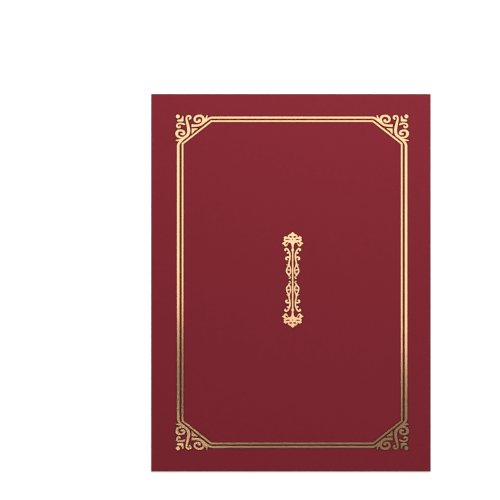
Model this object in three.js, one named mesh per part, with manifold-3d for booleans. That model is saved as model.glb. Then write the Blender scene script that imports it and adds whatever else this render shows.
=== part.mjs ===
import * as THREE from 'three';
import { mergeVertices } from 'three/addons/utils/BufferGeometryUtils.js';
import Module from 'manifold-3d';

// A certificate holder: one sheet of heavy red card, folded once down its left side like a book,
// with four slits in the back cover for the corners of the certificate, and a gold foil border and
// fleuron stamped on the front. Millimetres. The holder lies closed on its back cover: +Z is out of
// the front, +X runs from the fold to the free edge, +Y to the head.

// The certificate and the card that is cut to hold it
const SHEET_WIDTH = 210;
const SHEET_HEIGHT = 297;
const SHEET_SIDE_MARGIN = 9.75;
const SHEET_HEAD_MARGIN = 6.5;
const CARD_THICKNESS = 0.5;
const CLOSED_GAP = 0.4;

// The slits: how far the sheet's corner is tucked in, and the slit beyond the sheet at each end
const CORNER_TUCK = 30;
const SLIT_OVERRUN = 3;
const SLIT_WIDTH = 0.8;

// The foil border: its place on the cover, its rules, the height of its corner ornament down to where the
// side rule runs straight, and the cut corner of the inner rule beside that ornament
const FOIL_THICKNESS = 0.1;
const BORDER_SIDE_MARGIN = 20.2;
const BORDER_HEAD_MARGIN = 19;
const BORDER_SHIFT = 1;
const BORDER_RISE = 0.3;
const OUTER_RULE_SIDE = 2.1;
const OUTER_RULE_HEAD = 1.6;
const INNER_RULE_SIDE = 1.4;
const INNER_RULE_HEAD = 1.25;
const INNER_INSET_SIDE = 4.6;
const INNER_INSET_HEAD = 3.7;
const CORNER_HEIGHT = 22.3;
const CUT_WIDTH = 28.2;
const CUT_HEIGHT = 22.2;

// The fleuron in the middle of the cover, from tip to tip, and its place on the cover
const FLEURON_HEIGHT = 79;
const FLEURON_SHIFT = 1.45;
const FLEURON_RISE = 2.3;
const STEM_WIDTH = 1.1;

// How finely curves are stepped
const STROKE_STEP = 0.6;
const CAP_STEPS = 5;
const PETAL_STEPS = 3;
const SLIT_END_STEPS = 3;
const DOT_STEPS = 20;
const HOLE_STEPS = 12;
const FOLD_STEPS = 10;
const OUTLINE_TOLERANCE = 0.015;
const SHORTEST_EDGE = 0.1;
const SMALLEST_HOLE = 0.05;
const WELD_REACH = 1e-4;

const holderWidth = SHEET_WIDTH + 2 * SHEET_SIDE_MARGIN;
const holderHeight = SHEET_HEIGHT + 2 * SHEET_HEAD_MARGIN;
const foldRadius = CARD_THICKNESS + CLOSED_GAP / 2;
const coverWidth = holderWidth - foldRadius;
const foldEdge = foldRadius - holderWidth / 2;
const coverCentre = foldEdge + coverWidth / 2;
const frontFloor = CARD_THICKNESS + CLOSED_GAP;
const frontFace = frontFloor + CARD_THICKNESS;

const card = new THREE.MeshStandardMaterial({ color: 0x85282f, roughness: 0.85, metalness: 0 });
const foil = new THREE.MeshStandardMaterial({ color: 0xe6c98f, roughness: 0.35, metalness: 1 });

const wasm = await Module();
wasm.setup();

function mesh(name, geometry, material) {
  const made = new THREE.Mesh(geometry, material);
  made.name = name;
  return made;
}

function extrude(shape, depth) {
  const options = { depth, bevelEnabled: false, curveSegments: SLIT_END_STEPS };
  return new THREE.ExtrudeGeometry(shape, options);
}

// The card: two covers and the fold that joins them

function panel() {
  const shape = new THREE.Shape();
  shape.moveTo(-coverWidth / 2, -holderHeight / 2);
  shape.lineTo(coverWidth / 2, -holderHeight / 2);
  shape.lineTo(coverWidth / 2, holderHeight / 2);
  shape.lineTo(-coverWidth / 2, holderHeight / 2);
  shape.closePath();
  return shape;
}

// A slit lies at 45 degrees across one corner of the sheet, with round ends that don't tear
function slit(sideX, sideY) {
  const half = CORNER_TUCK / Math.SQRT2 + SLIT_OVERRUN;
  const radius = SLIT_WIDTH / 2;
  const middle = new THREE.Vector2(
    sideX * (SHEET_WIDTH - CORNER_TUCK) / 2,
    sideY * (SHEET_HEIGHT - CORNER_TUCK) / 2,
  );
  const along = new THREE.Vector2(sideX, -sideY).normalize().multiplyScalar(half - radius);
  const turn = along.angle();
  const path = new THREE.Path();
  const far = middle.clone().add(along);
  const near = middle.clone().sub(along);
  path.absarc(far.x, far.y, radius, turn - Math.PI / 2, turn + Math.PI / 2);
  path.absarc(near.x, near.y, radius, turn + Math.PI / 2, turn + 3 * Math.PI / 2);
  path.closePath();
  return path;
}

function backCover() {
  const shape = panel();
  for (const sideX of [-1, 1]) {
    for (const sideY of [-1, 1]) {
      shape.holes.push(slit(sideX, sideY));
    }
  }
  const made = mesh('back_cover', extrude(shape, CARD_THICKNESS), card);
  made.position.x = coverCentre;
  return made;
}

function frontCover() {
  const made = mesh('front_cover', extrude(panel(), CARD_THICKNESS), card);
  made.position.set(coverCentre, 0, frontFloor);
  return made;
}

// The crease goes half round, from the back cover's edge up to the front cover's
function spineFold() {
  const inner = foldRadius - CARD_THICKNESS;
  const section = new THREE.Shape();
  section.absarc(0, 0, foldRadius, Math.PI / 2, 3 * Math.PI / 2);
  section.absarc(0, 0, inner, 3 * Math.PI / 2, Math.PI / 2, true);
  section.closePath();
  const options = { depth: holderHeight, bevelEnabled: false, curveSegments: FOLD_STEPS };
  const geometry = new THREE.ExtrudeGeometry(section, options);
  const made = mesh('spine_fold', geometry, card);
  made.rotation.x = Math.PI / 2;
  made.position.set(foldEdge, holderHeight / 2, foldRadius);
  return made;
}

// Foil strokes: a smooth centre line with its own width at every point, [x, y, width]

function smooth(points, step = STROKE_STEP) {
  const curve = new THREE.CatmullRomCurve3(points.map((p) => new THREE.Vector3(...p)), false, 'centripetal');
  const count = Math.max(2, Math.ceil(curve.getLength() / step));
  return curve.getSpacedPoints(count).map((p) => [p.x, p.y, p.z]);
}

// The half circle that closes a stroke's end, from its left side to its right
function cap([x, y, width], angle) {
  const points = [];
  for (let i = 1; i < CAP_STEPS; i += 1) {
    const turn = angle + Math.PI / 2 - Math.PI * i / CAP_STEPS;
    points.push([x + width / 2 * Math.cos(turn), y + width / 2 * Math.sin(turn)]);
  }
  return points;
}

function outline(line, blunt = false) {
  const left = [];
  const right = [];
  const angles = line.map((point, i) => {
    const before = line[Math.max(i - 1, 0)];
    const after = line[Math.min(i + 1, line.length - 1)];
    return Math.atan2(after[1] - before[1], after[0] - before[0]);
  });
  line.forEach(([x, y, width], i) => {
    const across = [-Math.sin(angles[i]) * width / 2, Math.cos(angles[i]) * width / 2];
    left.push([x + across[0], y + across[1]]);
    right.push([x - across[0], y - across[1]]);
  });
  const end = blunt ? [] : cap(line.at(-1), angles.at(-1));
  const start = blunt ? [] : cap(line[0], angles[0] + Math.PI);
  return [...left, ...end, ...right.reverse(), ...start];
}

// A point that lies almost on the line between its neighbours, or on one of them, is dropped
function trim(points) {
  const kept = [];
  points.forEach((point, i) => {
    const before = kept.at(-1) ?? points.at(-1);
    const after = points[(i + 1) % points.length];
    const chord = [after[0] - before[0], after[1] - before[1]];
    const step = [point[0] - before[0], point[1] - before[1]];
    const aside = chord[0] * step[1] - chord[1] * step[0];
    const near = Math.hypot(...step) < SHORTEST_EDGE;
    if (!near && Math.abs(aside) > OUTLINE_TOLERANCE * Math.hypot(...chord)) {
      kept.push(point);
    }
  });
  return kept.map(([x, y]) => new THREE.Vector2(x, y));
}

// A mirrored outline runs the other way round, so it is turned back before it gets its thickness
function film(points, holes = []) {
  const corners = trim(points);
  const shape = new THREE.Shape(THREE.ShapeUtils.isClockWise(corners) ? corners.reverse() : corners);
  shape.holes = holes.map((hole) => new THREE.Path(trim(hole)));
  return extrude(shape, FOIL_THICKNESS);
}

function solid(geometry) {
  const bare = geometry.clone();
  bare.deleteAttribute('normal');
  bare.deleteAttribute('uv');
  const merged = mergeVertices(bare, WELD_REACH);
  return new wasm.Manifold(new wasm.Mesh({
    numProp: 3,
    vertProperties: new Float32Array(merged.attributes.position.array),
    triVerts: new Uint32Array(merged.index.array),
  }));
}

// The edges of a flat body's upper face that only one of its triangles has, as closed loops
function upperLoops(body) {
  const { numProp, vertProperties, triVerts } = body.getMesh();
  const corner = (i) => vertProperties.slice(i * numProp, i * numProp + 3);
  const open = new Map();
  for (let i = 0; i < triVerts.length; i += 3) {
    const triangle = [...triVerts.slice(i, i + 3)];
    if (triangle.every((v) => corner(v)[2] > FOIL_THICKNESS / 2)) {
      triangle.forEach((from, j) => {
        const to = triangle[(j + 1) % 3];
        if (!open.delete(`${to} ${from}`)) {
          open.set(`${from} ${to}`, [from, to]);
        }
      });
    }
  }
  const next = new Map(open.values());
  const loops = [];
  while (next.size > 0) {
    const loop = [];
    let at = next.keys().next().value;
    while (next.has(at)) {
      const to = next.get(at);
      next.delete(at);
      loop.push([...corner(at)]);
      at = to;
    }
    loops.push(loop);
  }
  return loops;
}

const area = (loop) => THREE.ShapeUtils.area(loop.map(([x, y]) => new THREE.Vector2(x, y)));

// Strokes that cross one another become one piece of foil with one outline
function join(geometries) {
  const whole = geometries.map(solid).reduce((sum, piece) => sum.add(piece));
  const loops = upperLoops(whole).filter((loop) => Math.abs(area(loop)) > SMALLEST_HOLE);
  const outside = loops.find((loop) => area(loop) > 0);
  return film(outside, loops.filter((loop) => area(loop) < 0));
}

const stroke = (points, place = (p) => p, blunt = false) => film(outline(smooth(points).map(place), blunt));

// The border. A corner is drawn once, at the head by the fold, with x from the border's left edge and
// y down from its top edge, and is mirrored to the other three.

const borderHalfWidth = holderWidth / 2 - BORDER_SIDE_MARGIN;
const borderHalfHeight = holderHeight / 2 - BORDER_HEAD_MARGIN;
const CORNERS = { head_left: [-1, 1], head_right: [1, 1], tail_left: [-1, -1], tail_right: [1, -1] };

// The side rule bends in along the cut corner and climbs as an S that ends in a small curl
const stemLine = [
  [10.3, 1.9, 1.3], [11.1, 1.25, 1.5], [11.15, 0.25, 1.6], [10.4, -0.45, 1.5], [9.3, -0.6, 1.4],
  [8.2, 0, 1.35], [7.8, 1.2, 1.4], [7.9, 2.6, 1.6], [8.45, 4.6, 1.9], [8.95, 6.8, 2.1],
  [9.4, 9, 2.4], [9.65, 11.2, 2.4], [9.5, 13.1, 2.3], [9, 14.6, 2.2], [8, 15.8, 2.1],
  [6.6, 16.8, 2], [5, 18.15, 1.9], [3.7, 19.4, 1.8], [2.35, 20.95, 1.8], [1.4, 22.3, 1.95],
];
const cornerUnit = CORNER_HEIGHT / stemLine.at(-1)[1];

function cornerFrame([sideX, sideY]) {
  return ([x, y, width]) => [
    sideX * (borderHalfWidth - x * cornerUnit),
    sideY * (borderHalfHeight - y * cornerUnit),
    width * cornerUnit,
  ];
}

const sideVolute = [
  [6.2, 17, 1.3], [4.4, 17.3, 1.3], [2.7, 17.15, 1.3], [1.2, 16.5, 1.6], [0.2, 15.5, 2],
  [-0.2, 14, 2.3], [0, 12.8, 2.2], [0.8, 11.85, 1.9], [2, 11.4, 1.6], [3.4, 11.3, 1.4],
  [4.75, 11.75, 1.6], [5.7, 12.6, 1.8], [5.9, 13.6, 1.9], [5.3, 14.35, 1.7], [4.4, 14.45, 1.5],
  [3.3, 14.2, 1.2],
];
const sideLeaf = [[-0.65, 19.45, 0.9], [0.6, 19.4, 1.15], [2.2, 19.1, 1.2], [4, 18.6, 1.1]];

// The head rule bends out of the cut corner the other way and ends square behind the S
const armLine = [
  [11.95, 7.4, 2.35], [13.2, 7.4, 2], [15.5, 7.4, 1.7], [17.5, 7.2, 1.7], [19.2, 6.6, 1.75],
  [20.7, 5.6, 1.8], [22.5, 4.2, 1.8], [24.4, 2.85, 1.7], [26.2, 1.65, 1.6], [27.8, 0.95, 1.6],
];
const headVolute = [
  [21.2, 4.8, 2], [21.9, 3, 2.2], [21.7, 1.4, 2], [21, 0.2, 1.9], [19.9, -0.45, 1.8],
  [18.3, -0.75, 1.6], [16.8, -0.5, 1.7], [15.5, 0.2, 1.8], [14.7, 1.3, 1.8], [14.55, 2.5, 1.8],
  [14.9, 3.5, 1.6], [15.8, 4.25, 1.4], [17, 4.45, 1.3], [18, 4.2, 1.3], [18.6, 3.7, 1.4],
];
const voluteEye = { at: [18.4, 3.3], radius: 1.25 };
const headLeaf = [[24.75, -0.95, 0.9], [24.45, 0.2, 1.2], [23.9, 1.5, 1.3], [23, 3.3, 1.2]];

// Four separate islands fill the corner
const dotAt = [0.75, -0.2];
const dotRadius = 1.6;
const hookLine = [
  [6.3, 6.55, 1], [5.5, 6.1, 1.5], [4.4, 5.75, 1.35], [3, 5.55, 1.2], [1.7, 5.65, 1.25],
  [0.6, 6.15, 1.35], [0, 7, 1.35], [0, 7.9, 1.35], [0.65, 8.65, 1.35], [1.6, 8.85, 1.4],
  [2.5, 8.5, 1.35], [2.6, 7.9, 1.25],
];

// A leaf or petal edge runs as a smooth curve from one tip to the next; each list ends on a tip
function tips(...edges) {
  const path = new THREE.Path();
  path.moveTo(...edges.at(-1).at(-1));
  for (const edge of edges) {
    if (edge.length === 1) {
      path.lineTo(...edge[0]);
    } else {
      path.splineThru(edge.map(([x, y]) => new THREE.Vector2(x, y)));
    }
  }
  const points = path.getPoints(PETAL_STEPS).map((p) => [p.x, p.y]);
  return points.slice(1);
}

const angleLeaf = tips(
  [[4.1, 0.3], [3.75, 1.2], [3.2, 1.95], [2.2, 2.3], [1.1, 2.45], [0.3, 2.75], [0.05, 3.3]],
  [[0.5, 3.95]],
  [[3.2, 4], [4.7, 3.95], [5.15, 3.8], [5.35, 3.4], [5.35, 1.4], [5.4, -0.2]],
  [[5.15, -0.7], [4.75, -0.75], [4.4, -0.35]],
);
const wedge = tips(
  [[12.15, 9.75]],
  [[17.5, 9.55]],
  [[16.3, 10.45], [15, 11.05], [14.2, 11.7], [13.7, 12.5], [13, 13.4], [12, 14.15]],
);

function circle(x, y, radius, count) {
  const points = [];
  for (let i = 0; i < count; i += 1) {
    const turn = 2 * Math.PI * i / count;
    points.push([x + radius * Math.cos(turn), y + radius * Math.sin(turn)]);
  }
  return points;
}

const place = (points, frame) => points.map(([x, y]) => frame([x, y, 0]).slice(0, 2));

function cornerIslands(name, sides) {
  const frame = cornerFrame(sides);
  const dot = circle(...dotAt, dotRadius, DOT_STEPS);
  return [
    mesh(`corner_dot_${name}`, film(place(dot, frame)), foil),
    mesh(`corner_leaf_${name}`, film(place(angleLeaf, frame)), foil),
    mesh(`corner_hook_${name}`, stroke(hookLine, frame), foil),
    mesh(`corner_wedge_${name}`, film(place(wedge, frame)), foil),
  ];
}

// A rule runs straight between the curves of its two corners, at its own width, and at each corner
// its volute and leaf grow out of it. Two points beyond the drawn curve set it straight.
const ruleLeads = [1.6, 3.2];

function rule(name, line, ruleEnd, blunt, growth, corners) {
  const frames = corners.map(cornerFrame);
  const full = smooth([...line, ...ruleEnd]);
  const path = [...full.map(frames[0]), ...full.map(frames[1]).reverse()];
  return mesh(name, join([film(outline(path, blunt)), ...frames.flatMap(growth)]), foil);
}

function sideRule(name, sideX) {
  const middle = OUTER_RULE_SIDE / 2 / cornerUnit;
  const width = OUTER_RULE_SIDE / cornerUnit;
  const ruleEnd = ruleLeads.map((lead) => [middle, stemLine.at(-1)[1] + lead, width]);
  const growth = (frame) => [stroke(sideVolute, frame), stroke(sideLeaf, frame)];
  return rule(name, stemLine, ruleEnd, false, growth, [[sideX, 1], [sideX, -1]]);
}

function headRule(name, sideY) {
  const middle = OUTER_RULE_HEAD / 2 / cornerUnit;
  const width = OUTER_RULE_HEAD / cornerUnit;
  const ruleEnd = ruleLeads.map((lead) => [armLine.at(-1)[0] + lead, middle, width]);
  const eye = circle(...voluteEye.at, voluteEye.radius, DOT_STEPS);
  const growth = (frame) => [stroke(headVolute, frame), stroke(headLeaf, frame), film(place(eye, frame))];
  return rule(name, armLine, ruleEnd, true, growth, [[-1, sideY], [1, sideY]]);
}

// The inner rule is one closed line with its corners cut off beside the outer rule's scrolls
function innerRule() {
  const loop = (inset) => {
    const x = borderHalfWidth - INNER_INSET_SIDE + inset * INNER_RULE_SIDE;
    const y = borderHalfHeight - INNER_INSET_HEAD + inset * INNER_RULE_HEAD;
    const cutX = borderHalfWidth - CUT_WIDTH + inset * INNER_RULE_SIDE / 2;
    const cutY = borderHalfHeight - CUT_HEIGHT + inset * INNER_RULE_HEAD / 2;
    return [
      [-x, cutY], [-cutX, y], [cutX, y], [x, cutY], [x, -cutY], [cutX, -y], [-cutX, -y], [-x, -cutY],
    ];
  };
  return mesh('rule_inner', film(loop(0.5), [loop(-0.5)]), foil);
}

// The fleuron, drawn about its own middle with y up. Its upper left quarter is mirrored both ways.

// The left edge of the flower, from beside its foot up to the tip of the top petal, and its foot
const petalEdges = [
  [[-1, 28.9], [-1.3, 29.7], [-1.8, 30.3], [-2.6, 30.7], [-3.4, 30.3], [-3.85, 29.5], [-4.2, 28.6],
    [-4.8, 27.8], [-5.6, 27.45], [-6.5, 27.75], [-7.1, 28.5], [-7.3, 29.2]],
  [[-8.1, 29.4], [-8.95, 29.9]],
  [[-8.1, 30.6], [-7.2, 31], [-6.35, 31.7]],
  [[-7, 32], [-7.5, 32.5], [-7.2, 33.2], [-7.1, 34]],
  [[-7.3, 34.6], [-7.55, 35.15]],
  [[-6.9, 35.4], [-6.3, 35.6], [-5.75, 36.15]],
  [[-5.2, 35.6], [-4.6, 35.2], [-4.1, 34.8]],
  [[-3.95, 35.7], [-3.75, 36.5], [-3.1, 37.1], [-2.3, 37.5], [-1.5, 38], [-0.8, 38.7], [0, 39.5]],
];
const fleuronUnit = FLEURON_HEIGHT / 2 / petalEdges.at(-1).at(-1)[1];
const flowerStem = STEM_WIDTH / fleuronUnit;
const flowerFoot = { y: 27.5, spread: 0.15 };

// The openings that part the petals and the eye of the flower, each from end to end with its width
const petalOpenings = [
  [-2.83, 35.58, -0.57, 35.12, 1.5],
  [-6.05, 33.15, -2.25, 33.15, 1],
  [-5.94, 28.97, -3.96, 31.23, 1.2],
];
const flowerEye = [-0.5, 33, 0.5, 33, 1];

function oval([x1, y1, x2, y2, width]) {
  const along = [(x2 - x1) / 2, (y2 - y1) / 2];
  const slender = width / 2 / Math.hypot(...along);
  return circle(0, 0, 1, HOLE_STEPS).map(([u, v]) => [
    (x1 + x2) / 2 + along[0] * u - along[1] * slender * v,
    (y1 + y2) / 2 + along[1] * u + along[0] * slender * v,
  ]);
}

function flower(frame) {
  const left = tips([[-flowerStem / 2 - flowerFoot.spread, flowerFoot.y]], ...petalEdges);
  const right = left.slice(0, -1).map(([x, y]) => [-x, y]).reverse();
  const holes = petalOpenings.flatMap((hole) => [oval(hole), oval(hole).map(([x, y]) => [-x, y])]);
  holes.push(oval(flowerEye));
  return film(place([...left, ...right], frame), holes.map((hole) => place(hole, frame)));
}

const stemShape = [
  [0, 28.6, 1.9], [0, 27.2, 1.4], [0, 26, 1.25], [0, 25.4, 1.7], [0, 24.6, 2.5], [0, 23.8, 1.7],
  [0, 23, flowerStem],
];
const scrollLines = [
  [[-6, 24.3, 1.5], [-6.15, 24.95, 1.7], [-5.6, 25.5, 1.4], [-4.8, 25.6, 1.2], [-4, 25, 1.2],
    [-3.3, 23.9, 1.2], [-2.8, 22.7, 1.3], [-2.4, 21.4, 1.25], [-2.25, 20, 1.2], [-2.3, 18.4, 1.2],
    [-2.45, 16.8, 1.2], [-2.75, 15.2, 1.2], [-3, 13.8, 1.2], [-3, 12.4, 1.4], [-2.9, 11.6, 1.2]],
  [[-4.3, 22.15, 1.3], [-3.6, 22.3, 1.2], [-2.8, 22.6, 0.9]],
  [[-2.4, 17.9, 1], [-3.3, 18.7, 1.1], [-4.4, 18.75, 1.2], [-5.3, 18.2, 1.4], [-5.5, 17.4, 1.5],
    [-5, 16.75, 1.4], [-4.5, 16.8, 1]],
  [[-5.2, 12.2, 0.5], [-4.2, 12.4, 0.7], [-3.1, 12.9, 0.8]],
  [[-3, 12.1, 1.2], [-4.1, 10.6, 1], [-4.8, 8.9, 1], [-5, 7.2, 1.1], [-4.6, 5.9, 1.2], [-3.8, 5, 1.2],
    [-3.1, 4.1, 1.3], [-3, 3.4, 1.1]],
  [[-2.9, 12, 1.1], [-2.2, 10.6, 0.9], [-1.75, 9, 0.9], [-1.65, 7, 0.95], [-2, 5.6, 1.1], [-2.9, 4.5, 1.2]],
  [[-1.8, 7.8, 0.8], [-3.3, 8.15, 0.9], [-4.8, 8.5, 0.8]],
  [[-3.1, 3.7, 1.1], [-2.4, 3, 0.7], [-1.85, 2.3, 0.7], [-2, 1.6, 0.8], [-2.9, 1.2, 0.9]],
];

function fleuronFrame([sideX, sideY]) {
  return ([x, y, width]) => [
    -sideX * x * fleuronUnit + FLEURON_SHIFT,
    sideY * y * fleuronUnit + FLEURON_RISE,
    width * fleuronUnit,
  ];
}

function fleuron() {
  const up = fleuronFrame([-1, 1]);
  const down = fleuronFrame([-1, -1]);
  const line = smooth(stemShape);
  const stem = film(outline([...line.map(up), ...line.map(down).reverse()]));
  const middle = mesh('fleuron_stem', join([stem, flower(up), flower(down)]), foil);
  const scrolls = Object.entries(CORNERS).map(([name, sides]) => {
    const frame = fleuronFrame(sides);
    return mesh(`fleuron_scroll_${name}`, join(scrollLines.map((points) => stroke(points, frame))), foil);
  });
  return [middle, ...scrolls];
}

const border = new THREE.Group();
border.position.set(BORDER_SHIFT, BORDER_RISE, frontFace);
border.add(sideRule('rule_left', -1), sideRule('rule_right', 1));
border.add(headRule('rule_head', 1), headRule('rule_tail', -1));
border.add(innerRule());
for (const [name, sides] of Object.entries(CORNERS)) {
  border.add(...cornerIslands(name, sides));
}

const centre = new THREE.Group();
centre.position.z = frontFace;
centre.add(...fleuron());

const holder = new THREE.Group();
holder.add(backCover(), spineFold(), frontCover(), border, centre);

export default holder;
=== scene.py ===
from math import ceil, cos, pi, radians, sin

import bmesh
import bpy
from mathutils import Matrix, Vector
from mathutils.bvhtree import BVHTree


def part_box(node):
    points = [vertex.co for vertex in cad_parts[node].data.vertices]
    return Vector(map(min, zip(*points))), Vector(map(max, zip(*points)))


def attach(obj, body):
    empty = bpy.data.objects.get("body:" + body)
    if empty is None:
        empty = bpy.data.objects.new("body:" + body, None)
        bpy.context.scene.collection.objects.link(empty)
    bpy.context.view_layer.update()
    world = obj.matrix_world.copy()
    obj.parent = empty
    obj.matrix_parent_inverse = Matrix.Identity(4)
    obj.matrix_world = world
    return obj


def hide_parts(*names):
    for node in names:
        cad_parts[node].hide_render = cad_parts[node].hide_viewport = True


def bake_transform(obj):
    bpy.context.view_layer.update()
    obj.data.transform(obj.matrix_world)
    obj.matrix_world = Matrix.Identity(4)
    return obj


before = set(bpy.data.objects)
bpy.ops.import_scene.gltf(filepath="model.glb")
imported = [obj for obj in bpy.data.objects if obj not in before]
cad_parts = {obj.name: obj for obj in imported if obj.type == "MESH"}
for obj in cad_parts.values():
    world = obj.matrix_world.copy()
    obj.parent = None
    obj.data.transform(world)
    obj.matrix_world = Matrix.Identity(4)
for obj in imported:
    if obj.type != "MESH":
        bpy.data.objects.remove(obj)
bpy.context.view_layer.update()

# The card: one sheet of heavy red paper board, dyed right through and cut square. It is scored once
# down the left side and folded over on itself like a book, so the crease is a tight half circle.
# Four slits cut through the back cover with a steel rule take the corners of the certificate.

MM = 0.001
CREASE_STEPS = 16
CUT_EDGE_SOFTNESS = 0.06 * MM
CUT_EDGE_STEPS = 2
CUT_CORNER = radians(50)
SHARP_EDGE = radians(35)
FLAT_FACE = 0.999
UPRIGHT_FACE = 0.5
SLIT_PUNCH = 2 * MM
PRESSED_AND_SHADED_EDGE = 0.9 * MM
EDGE_PRESS_AND_SHADE_DEPTH = 0.7
SAME_POINT = 0.002 * MM
SAME_LEVEL = 0.01 * MM

back_low, back_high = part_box("back_cover")
front_low, front_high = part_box("front_cover")
fold_low, fold_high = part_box("spine_fold")


def upper_loops(node):
    """The closed outlines of a CAD node's upper face, as lists of flat points."""
    flat = bmesh.new()
    flat.from_mesh(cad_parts[node].data)
    bmesh.ops.remove_doubles(flat, verts=flat.verts, dist=SAME_POINT)
    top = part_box(node)[1].z
    upper = {face for face in flat.faces if all(abs(v.co.z - top) < SAME_LEVEL for v in face.verts)}
    following = {}
    for face in upper:
        for corner in face.loops:
            beside = [other for other in corner.edge.link_faces if other is not face]
            if not any(other in upper for other in beside):
                following[corner.vert.index] = corner.link_loop_next.vert.index
    places = {v.index: Vector((v.co.x, v.co.y)) for v in flat.verts}
    flat.free()
    outlines = []
    while following:
        at = next(iter(following))
        outline = []
        while at in following:
            outline.append(places[at])
            at = following.pop(at)
        outlines.append(outline)
    return outlines


def signed_area(outline):
    """Positive for an outside, which runs anticlockwise, and negative for a hole."""
    return sum(a.cross(b) for a, b in zip(outline, outline[1:] + outline[:1])) / 2


def folded_section():
    """The sheet's cut section from the free edges round the crease, in X and Z."""
    middle = Vector((fold_high.x, (fold_low.z + fold_high.z) / 2))
    outer = (fold_high.z - fold_low.z) / 2
    inner = outer - (back_high.z - back_low.z)
    turns = [pi / 2 + pi * step / CREASE_STEPS for step in range(CREASE_STEPS + 1)]
    around = [middle + outer * Vector((cos(turn), sin(turn))) for turn in turns]
    within = [middle + inner * Vector((cos(turn), sin(turn))) for turn in reversed(turns)]
    out = (back_high.x - PRESSED_AND_SHADED_EDGE, back_high.x)
    back_edge = [Vector((x, back_low.z)) for x in out] + [Vector((x, back_high.z)) for x in out[::-1]]
    front_edge = [Vector((x, front_low.z)) for x in out] + [Vector((x, front_high.z)) for x in out[::-1]]
    return around + back_edge + within + front_edge


def join_rings(mesh, rings):
    """A strip of faces from each closed ring of points to the next."""
    for lower, upper in zip(rings, rings[1:]):
        for i in range(len(lower)):
            mesh.faces.new((lower[i - 1], lower[i], upper[i], upper[i - 1]))


def add_prism(mesh, outline, levels, along):
    """A closed prism on a flat outline, with 'along' placing each flat point at each level."""
    rings = [[mesh.verts.new(along(point, level)) for point in outline] for level in levels]
    mesh.faces.new(reversed(rings[0]))
    mesh.faces.new(rings[-1])
    join_rings(mesh, rings)
    bmesh.ops.recalc_face_normals(mesh, faces=mesh.faces)


def new_piece(name, mesh):
    data = bpy.data.meshes.new(name)
    mesh.to_mesh(data)
    mesh.free()
    piece = bpy.data.objects.new(name, data)
    bpy.context.scene.collection.objects.link(piece)
    return piece


sheet = bmesh.new()
tail_to_head = [back_low.y, back_low.y + PRESSED_AND_SHADED_EDGE, back_high.y - PRESSED_AND_SHADED_EDGE, back_high.y]
add_prism(sheet, folded_section(), tail_to_head, lambda p, level: (p.x, level, p.y))
card = new_piece("folded_card", sheet)

slits = bmesh.new()
through_back = [back_low.z - SLIT_PUNCH, (back_high.z + front_low.z) / 2]
for outline in upper_loops("back_cover"):
    if signed_area(outline) < 0:
        add_prism(slits, outline, through_back, lambda p, level: (p.x, p.y, level))
punch = new_piece("slit_punch", slits)

cutting = card.modifiers.new("slits", "BOOLEAN")
cutting.object = punch
cutting.solver = "EXACT"
softening = card.modifiers.new("soft_edges", "BEVEL")
softening.width = CUT_EDGE_SOFTNESS
softening.segments = CUT_EDGE_STEPS
softening.limit_method = "ANGLE"
softening.angle_limit = CUT_CORNER
settled = card.evaluated_get(bpy.context.evaluated_depsgraph_get())
finished = bpy.data.meshes.new_from_object(settled)
card.modifiers.clear()
card.data = finished
bpy.data.objects.remove(punch)

card.data.set_sharp_from_angle(angle=SHARP_EDGE)
for face in card.data.polygons:
    upright = abs(face.normal.z) < UPRIGHT_FACE
    face.use_smooth = abs(face.normal.z) < FLAT_FACE
    # The upright cut faces take a darker copy of the card: painted shade on the edges.
    face.material_index = 1 if upright and face.center.x > fold_high.x else 0

# The cutting rule and the scoring press the card along its cut edges and its crease. The value made here
# darkens the card there: partly that crushing, partly painted shade of the rolled edges and the crease.
press_and_shade_map = card.data.attributes.new("crush_and_shade", "FLOAT", "POINT")
for corner, press_and_shade in zip(card.data.vertices, press_and_shade_map.data):
    x, y, _ = corner.co
    from_cut = min(back_high.x - x, back_high.y - y, y - back_low.y) / PRESSED_AND_SHADED_EDGE
    from_crease = (x - fold_low.x) / (fold_high.x - fold_low.x)
    # Painted shade, with the crushing: darker towards the cut edges and into the crease.
    press_and_shade.value = EDGE_PRESS_AND_SHADE_DEPTH * max(0.0, 1 - from_cut, 1 - from_crease)


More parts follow.
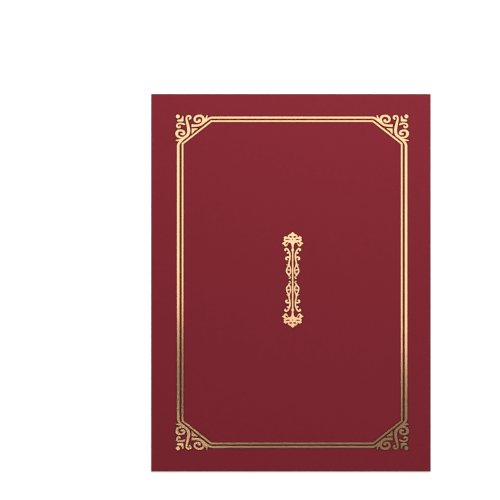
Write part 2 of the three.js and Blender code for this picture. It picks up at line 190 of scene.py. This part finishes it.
class Wire:
    """One output of a shader node. Sums and products of wires and numbers add Math nodes."""

    def __init__(self, tree, out):
        self.tree = tree
        self.out = out

    def node(self, kind, settings, inputs, out=0):
        """Any other node: its settings are set first, then the values or wires of its sockets."""
        made = self.tree.nodes.new(kind)
        for name, value in settings.items():
            setattr(made, name, value)
        for name, value in inputs.items():
            if isinstance(value, Wire):
                self.tree.links.new(value.out, made.inputs[name])
            else:
                made.inputs[name].default_value = value
        return Wire(self.tree, made.outputs[out])

    def math(self, operation, first, second):
        return self.node("ShaderNodeMath", {"operation": operation}, {0: first, 1: second})

    def __add__(self, other):
        return self.math("ADD", self, other)

    def __radd__(self, other):
        return self.math("ADD", other, self)

    def __sub__(self, other):
        return self.math("SUBTRACT", self, other)

    def __rsub__(self, other):
        return self.math("SUBTRACT", other, self)

    def __mul__(self, other):
        return self.math("MULTIPLY", self, other)

    def __rmul__(self, other):
        return self.math("MULTIPLY", other, self)

    def noise(self, size, detail=2.0, rough=0.5, stretch=(1, 1, 1)):
        """Even noise from 0 to 1 whose lumps are about 'size' across, longer where stretch is under 1."""
        scale = [side / size for side in stretch]
        scaled = self.node("ShaderNodeMapping", {}, {"Vector": self, "Scale": scale})
        settings = {"noise_dimensions": "3D"}
        inputs = {"Vector": scaled, "Scale": 1.0, "Detail": detail, "Roughness": rough}
        return self.node("ShaderNodeTexNoise", settings, inputs)

    def mix(self, first, second):
        """A colour between two others, by this wire's value from 0 to 1."""
        settings = {"data_type": "RGBA", "blend_type": "MIX"}
        return self.node("ShaderNodeMix", settings, {0: self, 6: first, 7: second}, out=2)

    def between(self, low, high):
        """This wire's value spread so that low becomes 0 and high becomes 1, and no further."""
        inputs = {"Value": self, "From Min": low, "From Max": high}
        return self.node("ShaderNodeMapRange", {"clamp": True}, inputs)

    def bump(self, strength, height, under=None):
        """A normal raised by this wire, on top of another bump if there is one."""
        inputs = {"Strength": strength, "Distance": height, "Height": self}
        if under:
            inputs["Normal"] = under
        return self.node("ShaderNodeBump", {}, inputs)

    def feed(self, shader, socket):
        self.tree.links.new(self.out, shader.inputs[socket])


def source(tree, kind, out):
    """A wire from a node that needs no input."""
    return Wire(tree, tree.nodes.new(kind).outputs[out])


def new_material(name, **fixed):
    """A material, its one shader with the values that are the same all over, and the surface's place."""
    material = bpy.data.materials.new(name)
    material.use_nodes = True
    shader = material.node_tree.nodes["Principled BSDF"]
    for socket, value in fixed.items():
        shader.inputs[socket.replace("_", " ")].default_value = value
    return material, shader, source(material.node_tree, "ShaderNodeTexCoord", "Object")


CARD_RED = (0.217, 0.0175, 0.0290, 1)
CARD_DEEP = (0.195, 0.0153, 0.0255, 1)
CARD_FIBRE = (0.255, 0.0290, 0.0410, 1)
# Crushed card and painted shade: the darkest the edge, crease and foil bands go.
CARD_CRUSHED_AND_SHADED = (0.036, 0.0026, 0.0003, 1)
CARD_ROUGHNESS = 0.78
# Painted shade: the cut edges' red, darker than the card's face.
SHADED_EDGE_RED = (0.150, 0.0085, 0.0150, 1)
SHADED_EDGE_DEEP = (0.095, 0.0060, 0.0100, 1)
EDGE_ROUGHNESS = 0.9
CLOUD_SIZE = 7 * MM
MOTTLE_SIZE = 2.2 * MM
GRAIN_SIZE = 0.8 * MM
FIBRE_WIDTH = 0.16 * MM
FIBRE_STRETCH = 0.09
FELT_HEIGHT = 0.06 * MM
FIBRE_HEIGHT = 0.02 * MM


def card_material(name, red, deep, fibre, roughness):
    """Dyed pulp: cloudy where fibres bunch, crossed by single paler ones, with a fine felt marking.
    The mesh's press value darkens it: partly crushed card, partly painted shade of edges and grooves."""
    material, shader, place = new_material(name, Specular_IOR_Level=0.12, IOR=1.45)
    cloud = place.noise(CLOUD_SIZE, detail=3.0, rough=0.55)
    mottle = place.noise(MOTTLE_SIZE, detail=3.0, rough=0.6)
    grain = place.noise(GRAIN_SIZE, detail=3.0, rough=0.6)
    upwards = place.noise(FIBRE_WIDTH, stretch=(1, FIBRE_STRETCH, 1))
    across = place.noise(FIBRE_WIDTH, stretch=(FIBRE_STRETCH, 1, 1))
    fibres = upwards.between(0.66, 0.74) + across.between(0.67, 0.75)
    pulp = (cloud * 0.15 + mottle * 0.25 + grain * 0.6).between(0.38, 0.62).mix(deep, red)
    fibrous = (fibres * 0.35).mix(pulp, fibre)
    # Painted shade, with the crushing: the mesh's press value darkens the card.
    crush_and_shade = place.node("ShaderNodeAttribute", {"attribute_name": "crush_and_shade"}, {}, out="Fac")
    crush_and_shade.mix(fibrous, CARD_CRUSHED_AND_SHADED).feed(shader, "Base Color")
    (roughness + (grain - 0.5) * 0.16 - fibres * 0.04).feed(shader, "Roughness")
    felt = (cloud * 0.3 + mottle * 0.5 + grain * 0.8).bump(0.45, FELT_HEIGHT)
    fibres.bump(0.25, FIBRE_HEIGHT, felt).feed(shader, "Normal")
    return material


red_card = card_material("red_card", CARD_RED, CARD_DEEP, CARD_FIBRE, CARD_ROUGHNESS)
# The cut edges: the card's material made darker, painted shade.
shaded_cut_edge = card_material("red_card_shaded_cut_edge", SHADED_EDGE_RED, SHADED_EDGE_DEEP, CARD_RED, EDGE_ROUGHNESS)
card.data.materials.clear()
card.data.materials.append(red_card)
card.data.materials.append(shaded_cut_edge)

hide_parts("back_cover", "front_cover", "spine_fold")
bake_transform(card)

# The gold foil: a thin metal film on a lacquer, pressed on the front cover by a hot engraved die. It
# takes up the card's texture, its edges are rounded down where the die bit in, and its shine is
# broken by fine wrinkles. Double rule with cut corners, scrolls and a fleuron.

FOIL_STEP = 0.22 * MM
LONG_EDGE = 1.2 * MM
BEND_REACH = 0.5 * MM
SHARP_TIP_COSINE = 0.57
# How far in from the outline, in millimetres, and how much of the film's height it has there.
FOIL_EDGE = [(0.0, 0.0), (0.02, 0.55), (0.05, 0.88), (0.09, 1.0), (0.11, 1.0)]
LONGEST_MITRE = 2.2
NO_LENGTH = 1e-6


def slope(before, here, after):
    """The direction of a smooth curve at the middle one of three points."""
    back = (here - before).length
    ahead = (after - here).length
    direction = (here - before) * (ahead / back) + (after - here) * (back / ahead)
    return direction / (back + ahead)


def eased(outline):
    """The outline as the die's engraver cut it: smooth curves between its sharp tips, and a long edge
    straight but for its two ends."""
    points = []
    drawn = []
    for here, after in zip(outline, outline[1:] + outline[:1]):
        points.append(here)
        drawn.append(True)
        way = after - here
        if way.length > LONG_EDGE:
            bend = way * (BEND_REACH / way.length)
            points += [here + bend, after - bend]
            drawn += [False, False]
    count = len(points)
    slopes = [slope(points[i - 1], points[i], points[(i + 1) % count]) for i in range(count)]
    sharp = []
    for i, here in enumerate(points):
        arriving = (here - points[i - 1]).normalized()
        leaving = (points[(i + 1) % count] - here).normalized()
        sharp.append(drawn[i] and arriving.dot(leaving) < SHARP_TIP_COSINE)
    smooth = []
    for i, here in enumerate(points):
        ahead = (i + 1) % count
        way = points[ahead] - here
        start = way if sharp[i] else slopes[i] * way.length
        end = way if sharp[ahead] else slopes[ahead] * way.length
        steps = 1 if way.length > LONG_EDGE else max(1, ceil(way.length / FOIL_STEP))
        for step in range(steps):
            t = step / steps
            smooth.append(
                here * (2 * t**3 - 3 * t**2 + 1) + start * (t**3 - 2 * t**2 + t)
                + points[ahead] * (3 * t**2 - 2 * t**3) + end * (t**3 - t**2)
            )
    return smooth


def inward(outline):
    """For each point of an outline, the way in from its edge, longer at a sharp tip."""
    ways = []
    for i, here in enumerate(outline):
        arriving = (here - outline[i - 1]).normalized()
        leaving = (outline[(i + 1) % len(outline)] - here).normalized()
        across = Vector((-arriving.y, arriving.x))
        mean = across + Vector((-leaving.y, leaving.x))
        mean = mean.normalized() if mean.length > NO_LENGTH else across
        ways.append(mean / max(mean.dot(across), 1 / LONGEST_MITRE))
    return ways


def pressed_film(node, outlines):
    """The foil of one CAD node, with its upper edge rounded down to the card all along its outline."""
    low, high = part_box(node)
    film = bmesh.new()
    inner_edges = []
    for outline in outlines:
        ways = inward(outline)
        rings = []
        for reach, rise in FOIL_EDGE:
            level = low.z + (high.z - low.z) * rise
            places = [p + way * (reach * MM) for p, way in zip(outline, ways)]
            rings.append([film.verts.new((p.x, p.y, level)) for p in places])
        join_rings(film, rings)
        last = rings[-1]
        inner_edges += [film.edges.get((last[i - 1], last[i])) for i in range(len(last))]
    filled = bmesh.ops.triangle_fill(film, edges=inner_edges, use_beauty=True, normal=(0, 0, 1))
    for face in filled["geom"]:
        if isinstance(face, bmesh.types.BMFace) and face.normal.z < 0:
            face.normal_flip()
    piece = new_piece("foil_" + node, film)
    for face in piece.data.polygons:
        face.use_smooth = True
    return piece


FOIL_GOLD = (0.95, 0.54, 0.31, 1)
FOIL_WARM = (0.93, 0.48, 0.26, 1)
FOIL_CLOUD_SIZE = 4 * MM
FOIL_GRAIN_SIZE = 0.5 * MM
WRINKLE_SIZE = 0.14 * MM
WRINKLE_STRETCH = 0.3
FOIL_FELT_HEIGHT = 0.02 * MM
WRINKLE_HEIGHT = 0.008 * MM


def foil_material():
    """Bright gold film: nearly a mirror, dulled where the card's grain shows through it."""
    material, shader, place = new_material("gold_foil", Metallic=1.0)
    cloud = place.noise(FOIL_CLOUD_SIZE)
    grain = place.noise(FOIL_GRAIN_SIZE, detail=3.0, rough=0.6)
    wrinkle = place.noise(WRINKLE_SIZE, rough=0.6, stretch=(1, WRINKLE_STRETCH, 1))
    (cloud * 0.5 + grain * 0.5).between(0.35, 0.65).mix(FOIL_WARM, FOIL_GOLD).feed(shader, "Base Color")
    (0.10 + grain * 0.04 + wrinkle * 0.03).feed(shader, "Roughness")
    felt = (cloud * 0.3 + grain).bump(0.15, FOIL_FELT_HEIGHT)
    wrinkle.bump(0.10, WRINKLE_HEIGHT, felt).feed(shader, "Normal")
    return material


gold = foil_material()
foil_nodes = sorted(set(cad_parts) - {"back_cover", "front_cover", "spine_fold"})
foil_outlines = {node: [eased(outline) for outline in upper_loops(node)] for node in foil_nodes}
for node, outlines in foil_outlines.items():
    film = pressed_film(node, outlines)
    film.data.materials.append(gold)
    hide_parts(node)
    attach(film, "front")

# The crushed card: round each line of foil the hot die's rim pressed the card down. A narrow dark band,
# partly crushing and partly painted shade of the pressed groove, fades out into the card's own colour.
# It is the card itself, drawn as a skin on it.

CRUSH_REACH = 0.95 * MM
CRUSH_TUCK = 0.04 * MM
CRUSH_LIFT = 0.016 * MM
CRUSH_FALL = 0.010 * MM
CRUSH_RINGS = [0.0, 0.5, 0.75, 1.0]
CRUSH_AND_SHADE_FADE = 0.5
CRUSH_GROWTH = 0.8
HALF_WAY = 0.49
NOTCH_TURN = 0.6
CLEAR_OF_EDGE = 0.01 * MM
SLIVER = 0.0005 * MM
WALL_HEIGHT = 1.0


def upright_walls(outlines):
    """Walls along all the outlines, to measure from one edge of the foil to the next."""
    corners = []
    walls = []
    for outline in outlines:
        first = len(corners)
        for p in outline:
            corners += [(p.x, p.y, -WALL_HEIGHT), (p.x, p.y, WALL_HEIGHT)]
        for i in range(len(outline)):
            here = first + 2 * i
            ahead = first + 2 * ((i + 1) % len(outline))
            walls.append((here, ahead, ahead + 1, here + 1))
    return BVHTree.FromPolygons(corners, walls)


def crush_reach(outline, ways, walls):
    """How far the dark band goes out from each point: half way over where the next foil is near, none in a
    notch, and never growing faster along the edge than a round die corner would let it."""
    reaches = []
    count = len(outline)
    for i, here in enumerate(outline):
        behind = here - outline[i - 1]
        ahead = outline[(i + 1) % count] - here
        out = -ways[i].normalized()
        start = here + out * CLEAR_OF_EDGE
        _, _, _, gap = walls.ray_cast((start.x, start.y, 0), (out.x, out.y, 0), 2 * CRUSH_REACH)
        free = min(CRUSH_REACH, (gap or 2 * CRUSH_REACH) * HALF_WAY)
        reaches.append(0 if behind.angle_signed(ahead) > NOTCH_TURN else free)
    for order, step in ((range(2 * count), -1), (range(2 * count, 0, -1), 1)):
        for i in order:
            here, beside = i % count, (i + step) % count
            span = (outline[here] - outline[beside]).length
            reaches[here] = min(reaches[here], reaches[beside] + CRUSH_GROWTH * span)
    return reaches


def add_crushed_and_shaded_band(mesh, press_and_shade, outline, ways, reaches, level):
    """A band of crushed card with painted shade along an outline, from just under the foil out to the
    untouched card. How dark it is goes by the distance from the foil, so bands that meet half way agree."""
    rings = []
    for share in reversed(CRUSH_RINGS):
        ring = []
        for p, way, reach in zip(outline, ways, reaches):
            place = p - way.normalized() * (reach * share) if share > 0 else p + way * CRUSH_TUCK
            away = reach * share / CRUSH_REACH
            corner = mesh.verts.new((place.x, place.y, level + CRUSH_LIFT - CRUSH_FALL * away))
            # Painted shade, with the crushing: darkest at the foil, fading out to the card.
            corner[press_and_shade] = min(1.0, (1 - away) / CRUSH_AND_SHADE_FADE)
            ring.append(corner)
        rings.append(ring)
    join_rings(mesh, rings)


walls = upright_walls([outline for outlines in foil_outlines.values() for outline in outlines])
skin = bmesh.new()
press_and_shade = skin.verts.layers.float.new("crush_and_shade")
for node, outlines in foil_outlines.items():
    for outline in outlines:
        ways = inward(outline)
        add_crushed_and_shaded_band(skin, press_and_shade, outline, ways, crush_reach(outline, ways, walls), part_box(node)[0].z)
bmesh.ops.remove_doubles(skin, verts=skin.verts, dist=SAME_POINT)
bmesh.ops.dissolve_degenerate(skin, edges=skin.edges, dist=SLIVER)
# The skin: crushed card and painted shade of the groove round the foil.
crushed_and_shaded = new_piece("crushed_and_shaded_edges", skin)
crushed_and_shaded.data.materials.append(red_card)
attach(crushed_and_shaded, "front")

# The floor: one flat, matt white sheet, far wider than the picture, just under the back cover. It takes
# the cover's soft shadow, and what the camera and a reflection see of it is lifted to paper white.

FLOOR_SIDE = 12.0
FLOOR_DROP = 0.02 * MM
FLOOR_WHITE = (0.86, 0.86, 0.86, 1)
FLOOR_LIFT = 0.44
BLACK = (0, 0, 0, 1)
WHITE = (1, 1, 1, 1)

ground = bmesh.new()
bmesh.ops.create_grid(ground, x_segments=1, y_segments=1, size=FLOOR_SIDE / 2)
floor = new_piece("floor", ground)
floor.location.z = back_low.z - FLOOR_DROP
white, paper, _ = new_material("white_floor", Base_Color=FLOOR_WHITE, Roughness=0.9, Specular_IOR_Level=0.1)
seen = source(white.node_tree, "ShaderNodeLightPath", "Is Camera Ray")
mirrored = source(white.node_tree, "ShaderNodeLightPath", "Is Glossy Ray")
through = source(white.node_tree, "ShaderNodeLightPath", "Is Transmission Ray")
lift = (seen + mirrored + through).between(0, 1) * FLOOR_LIFT
lift.mix(BLACK, WHITE).feed(paper, "Emission Color")
paper.inputs["Emission Strength"].default_value = 1.0
floor.data.materials.append(white)

# The light: a large soft box high over the head of the cover, which the foil mirrors from the head down
# to just above the tail. A low key lamp beyond the head makes the card deepen towards the tail, and a
# small reflector lights the tail corner by the fold. The room is pale all round with a dim ceiling.

ROOM_WALLS = 1.0
ROOM_CEILING = 0.22
LAMPS = {
    "soft_box": {"at": (0.373, 0.607, 1.4), "turn": (0, 0, -0.17), "size": (1.1, 1.5), "level": 1.32},
    "key": {"at": (0.08, 0.42, 0.42), "turn": (-0.30, 0, 0), "size": (0.5, 0.3), "level": 4.2},
    "reflector": {"at": (-0.134, -0.253, 1.4), "turn": (0, 0, 0), "size": (0.04, 0.04), "level": 5.6},
}

for name, lamp in LAMPS.items():
    width, depth = lamp["size"]
    light = bpy.data.lights.new(name, "AREA")
    light.shape = "RECTANGLE"
    light.size = width
    light.size_y = depth
    light.energy = lamp["level"] * pi * width * depth
    stand = bpy.data.objects.new(name, light)
    stand.location = lamp["at"]
    stand.rotation_euler = lamp["turn"]
    bpy.context.scene.collection.objects.link(stand)

room = bpy.data.worlds.new("room")
room.use_nodes = True
sky = source(room.node_tree, "ShaderNodeTexCoord", "Generated")
height = sky.node("ShaderNodeSeparateXYZ", {}, {"Vector": sky}, out="Z").between(0, 1)
pale = ROOM_WALLS - height * (ROOM_WALLS - ROOM_CEILING)
pale.mix(BLACK, WHITE).feed(room.node_tree.nodes["Background"], "Color")
bpy.context.scene.world = room
bpy.context.scene.view_settings.view_transform = "Standard"

# The camera: straight above with a long lens, +Y up in the picture. The cover stands a little right of
# and below the middle of the square frame.

PHOTO_SIDE = 500
COVER_LEFT, COVER_RIGHT = 151.1, 430.7
COVER_TOP, COVER_BOTTOM = 93.9, 471.6
LENS = 200.0
SENSOR = 36.0
FARTHEST_SEEN = 20.0

pixel = (back_high.y - back_low.y) / (COVER_BOTTOM - COVER_TOP)
aside = (PHOTO_SIDE / 2 - (COVER_LEFT + COVER_RIGHT) / 2) * pixel
above = ((COVER_TOP + COVER_BOTTOM) / 2 - PHOTO_SIDE / 2) * pixel
distance = PHOTO_SIDE * pixel * LENS / SENSOR
view = bpy.data.cameras.new("camera")
view.lens = LENS
view.sensor_width = SENSOR
view.clip_end = FARTHEST_SEEN
camera = bpy.data.objects.new("camera", view)
camera.location = (aside, above, front_high.z + distance)
bpy.context.scene.collection.objects.link(camera)
bpy.context.scene.camera = camera
